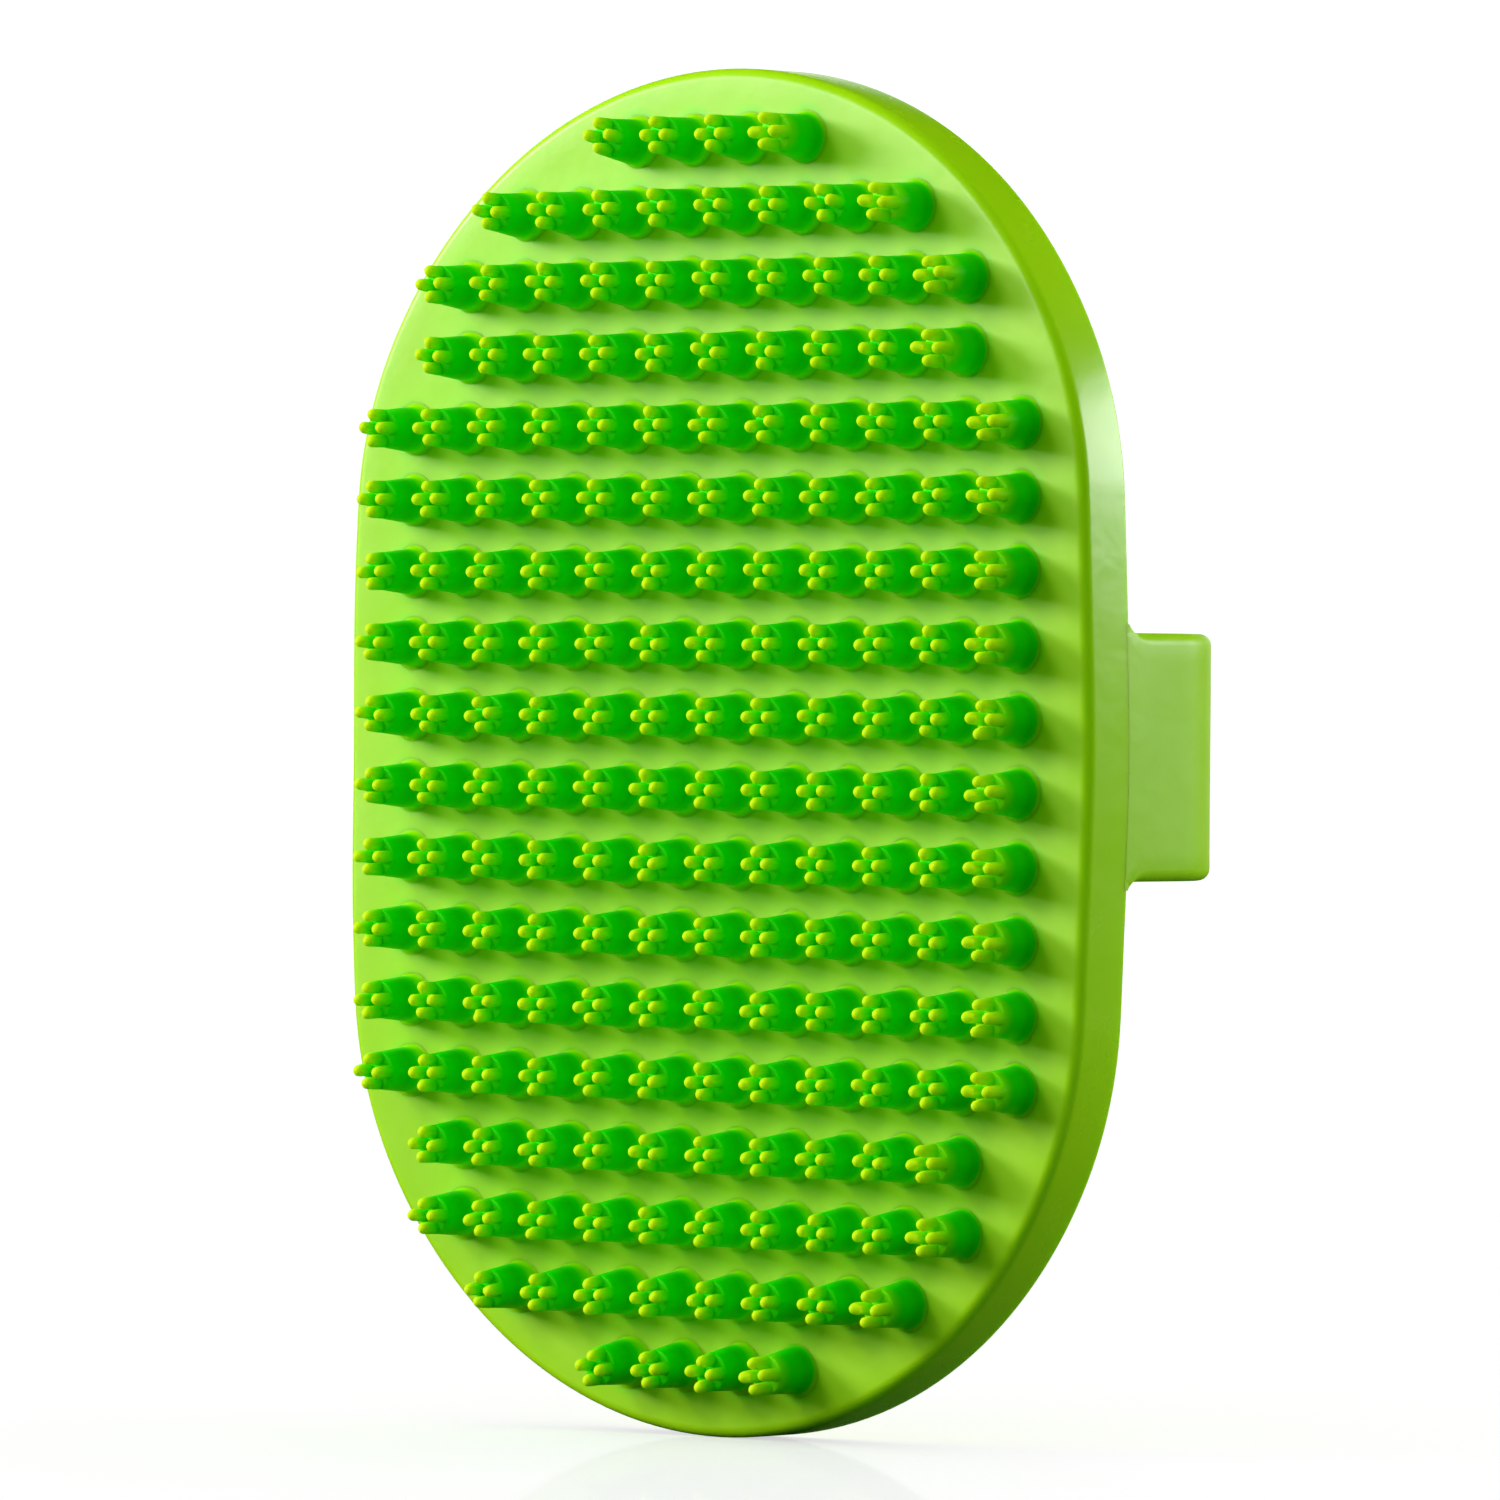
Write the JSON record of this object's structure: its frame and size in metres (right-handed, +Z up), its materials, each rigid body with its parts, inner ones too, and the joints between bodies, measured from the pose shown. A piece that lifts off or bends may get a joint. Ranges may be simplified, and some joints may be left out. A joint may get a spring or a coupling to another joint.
{
  "type": "rubber curry brush",
  "caption": "Oval rubber curry brush: a flat pad with rows of four-pinned bristles and an adjustable two-part hand strap across its back.",
  "frame": {"origin": "centre of the pad's flat back face, where the palm lies under the strap", "axes": "+Z up along the pad's length, +X across its width, +Y out of the back towards the hand strap, so the bristles point along -Y"},
  "size_m": [0.093, 0.037, 0.132],
  "materials": {
    "pad_rubber": "satin, slightly translucent lime green",
    "bristle_rubber": "satin, slightly translucent deep green",
    "strap_rubber": "satin, slightly translucent lime green"
  },
  "bodies": {
    "brush_pad": {"pad": "pad_rubber", "bristle_row_01": "bristle_rubber", "bristle_row_02": "bristle_rubber", "bristle_row_03": "bristle_rubber", "bristle_row_04": "bristle_rubber", "bristle_row_05": "bristle_rubber", "bristle_row_06": "bristle_rubber", "bristle_row_07": "bristle_rubber", "bristle_row_08": "bristle_rubber", "bristle_row_09": "bristle_rubber", "bristle_row_10": "bristle_rubber", "bristle_row_11": "bristle_rubber", "bristle_row_12": "bristle_rubber", "bristle_row_13": "bristle_rubber", "bristle_row_14": "bristle_rubber", "bristle_row_15": "bristle_rubber", "bristle_row_16": "bristle_rubber", "bristle_row_17": "bristle_rubber", "bristle_row_18": "bristle_rubber", "strap_root_right": "strap_rubber", "strap_root_left": "strap_rubber"},
    "holed_half": {"strap_half_holed": "strap_rubber"},
    "pegged_half": {"strap_half_pegged": "strap_rubber", "strap_pegs": "strap_rubber"}
  },
  "joints": [
    {"name": "holed_half_opens", "type": "hinge", "parent": "brush_pad", "child": "holed_half", "pos_m": [0.04225, 0.01505, 0], "axis": [0, 0, -1], "range_deg": [0, 90], "stiffness_Nm_per_rad": 0.004},
    {"name": "pegged_half_opens", "type": "hinge", "parent": "brush_pad", "child": "pegged_half", "pos_m": [-0.04225, 0.01217, 0], "axis": [0, 0, 1], "range_deg": [0, 18], "stiffness_Nm_per_rad": 0.004}
  ],
  "couplings": [
    {"joint": "pegged_half_opens", "follows": "holed_half_opens", "ratio": 0.2}
  ]
}
